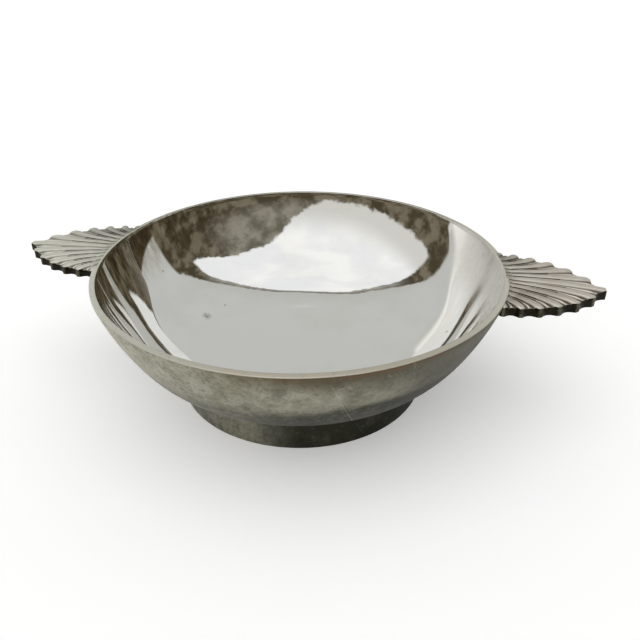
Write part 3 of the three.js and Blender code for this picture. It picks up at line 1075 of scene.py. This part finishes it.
class StudioSet:
    """What stands round the bowl, by direction: x to the right, y away from the camera and z
    up. `across` and `ahead` are x and y along the ground."""

    def __init__(self, finish, turn):
        self.finish = finish
        turned = finish.turned(finish.node("ShaderNodeTexCoord", out="Generated"), (0, 0, -turn))
        self.x, self.y, self.z = finish.parts(turned)
        level = (1.0 - self.z * self.z) ** 0.5
        self.across, self.ahead = self.x / level, self.y / level
        leafy = finish.vector(self.across * 3.0, self.ahead * 3.0, self.z * 5.0)
        self.soft = finish.noise(turned, 2.2, 4.0, 0.55)
        self.ragged = finish.noise(leafy, 3.2, 6.0, 0.62) - 0.5
        self.mottle = finish.noise(leafy, 1.7, 6.0, 0.62)
        patchy = self.mottle.rise(0.42, 0.62)
        self.dark = finish.mix(patchy, (0.068, 0.056, 0.034), (0.20, 0.172, 0.125))

    def past_panel(self):
        """How far a direction lies beyond the panel's curved far edge."""
        x = self.x
        bend = ((x + 0.038) * (x + 0.038) + 0.0216) ** 0.5
        edge = 0.042 - x * 0.104 + x * x * 0.085 + (bend * (-1 / 0.2846)).exponent() * 0.7275
        return self.y - edge

    def panel(self):
        """The pale panel overhead, a little warmer low down."""
        pale = self.finish.mix(self.soft.rise(0.4, 0.68), (0.91, 0.925, 0.95), (1.04, 1.04, 1.03))
        low = self.z.rise(0.62, 0.4) * self.across.rise(0.9, 0.3)
        return self.finish.mix(low, pale, (0.70, 0.695, 0.67))

    def card(self, past):
        """The grey card, with a bright strip on the left and brown shade low down."""
        across, z = self.across, self.z
        strip = (z - (0.455 - (across + 0.25) * (across + 0.25) * 0.7)).rise(0.03, -0.03)
        strip = strip * across.rise(-0.14, -0.22) * 0.95
        shade = z.rise(0.162, 0.142) * across.rise(0.68, 0.78)
        shade = shade.larger(z.rise(0.36, 0.3) * abs(across).rise(0.36, 0.26))
        leafy = self.mottle.rise(0.4, 0.6)
        brown = self.finish.mix(leafy, (0.06, 0.046, 0.028), (0.12, 0.09, 0.058))
        return self.finish.layered(
            (0.55, 0.555, 0.542),
            (self.soft.rise(0.3, 0.7), (0.585, 0.59, 0.578)),
            (past.rise(0.22, 0.0) * 0.5, (0.50, 0.50, 0.47)),
            (strip, (0.97, 0.96, 0.92)),
            (shade, brown),
        )

    def border(self, past):
        """The dark, ragged border between the panel and the card."""
        wide = abs(self.x)
        half = 0.024 + wide.rise(0.3, 0.66) * 0.02 + wide.rise(0.66, 0.92) * 0.06
        cut = (self.z - self.ahead * 0.53).rise(0.002, 0.018).larger(self.across.rise(-0.85, -0.8))
        border = (abs(past + self.ragged * 0.06) / half).rise(1.2, 0.75) * self.z.rise(0.07, 0.15)
        return border * cut * (0.72 + wide.rise(0.5, 0.8) * 0.28)

    def tree_line(self):
        """Trees along the horizon on the camera's side, higher on the right."""
        ridge = 0.325 + self.across.rise(-0.4, 0.6) * 0.36 + self.ragged * 0.09
        ridge = ridge - self.across.rise(0.5, 0.75) * self.ahead.rise(-0.6, -0.05) * 0.2
        return (self.z - ridge).rise(0.015, -0.015) * self.ahead.rise(0.22, 0.185)

    def trees(self):
        """Dark trees, with paler ones higher up."""
        leafy = self.mottle.rise(0.35, 0.65)
        pale = self.finish.mix(leafy, (0.17, 0.157, 0.125), (0.34, 0.32, 0.275))
        high = self.z.rise(0.3, 0.42) * self.across.rise(0.96, 0.8)
        return self.finish.mix(high * 0.75, self.dark, pale)


def studio_light(context, settings):
    """A soft panel overhead, a grey card and dark trees. The camera itself sees white."""
    context.scene.world = bpy.data.worlds.new("studio")
    finish = Finish(context.scene.world)
    room = StudioSet(finish, settings.set_turn)
    past = room.past_panel()
    camera_ray = finish.node("ShaderNodeLightPath", out="Is Camera Ray")
    light = finish.layered(
        room.panel(),
        (past.rise(-0.012, 0.012), room.card(past)),
        (room.border(past), room.dark),
        (room.tree_line(), room.trees()),
        (room.z.rise(0.02, -0.02), (0.95, 0.95, 0.94)),
        (camera_ray, (1.0, 1.0, 1.0)),
    )
    strength = 1.0 + finish.output(camera_ray, "Is Diffuse Ray") * 0.22
    back = finish.node("ShaderNodeBackground", sockets={"Color": light, "Strength": strength})
    finish.node("ShaderNodeOutputWorld", sockets={"Surface": back})


class BOWL_PT_sidebar(bpy.types.Panel):
    """Lists the bowl's sizes, colours and pieces"""

    bl_idname = "BOWL_PT_sidebar"
    bl_label = "Footed bowl"
    bl_space_type = "VIEW_3D"
    bl_region_type = "UI"
    bl_category = "Bowl"

    def draw(self, context):
        for operator in OPERATORS:
            self.layout.operator(operator.bl_idname)
        for name, group in GROUPS.items():
            box = self.layout.box()
            for key in group.__annotations__:
                box.prop(getattr(context.scene, name), key)


GROUPS = {
    "bowl_sizes": BowlSizes,
    "foot_sizes": FootSizes,
    "fan_sizes": FanSizes,
    "pewter_colours": PewterColours,
    "studio_settings": StudioSettings,
}
OPERATORS = (BOWL_OT_body, BOWL_OT_foot, BOWL_OT_fans, BOWL_OT_fan_seams, BOWL_OT_studio)


def register():
    for made in (*GROUPS.values(), *OPERATORS, BOWL_PT_sidebar):
        bpy.utils.register_class(made)
    for name, group in GROUPS.items():
        setattr(bpy.types.Scene, name, bpy.props.PointerProperty(type=group))


def unregister():
    for name in GROUPS:
        delattr(bpy.types.Scene, name)
    for made in reversed((*GROUPS.values(), *OPERATORS, BOWL_PT_sidebar)):
        bpy.utils.unregister_class(made)


def main():
    register()
    bpy.ops.bowl.body()
    bpy.ops.bowl.foot()
    bpy.ops.bowl.fans()
    bpy.ops.bowl.fan_seams()
    bpy.ops.bowl.studio()


if __name__ == "__main__":
    main()
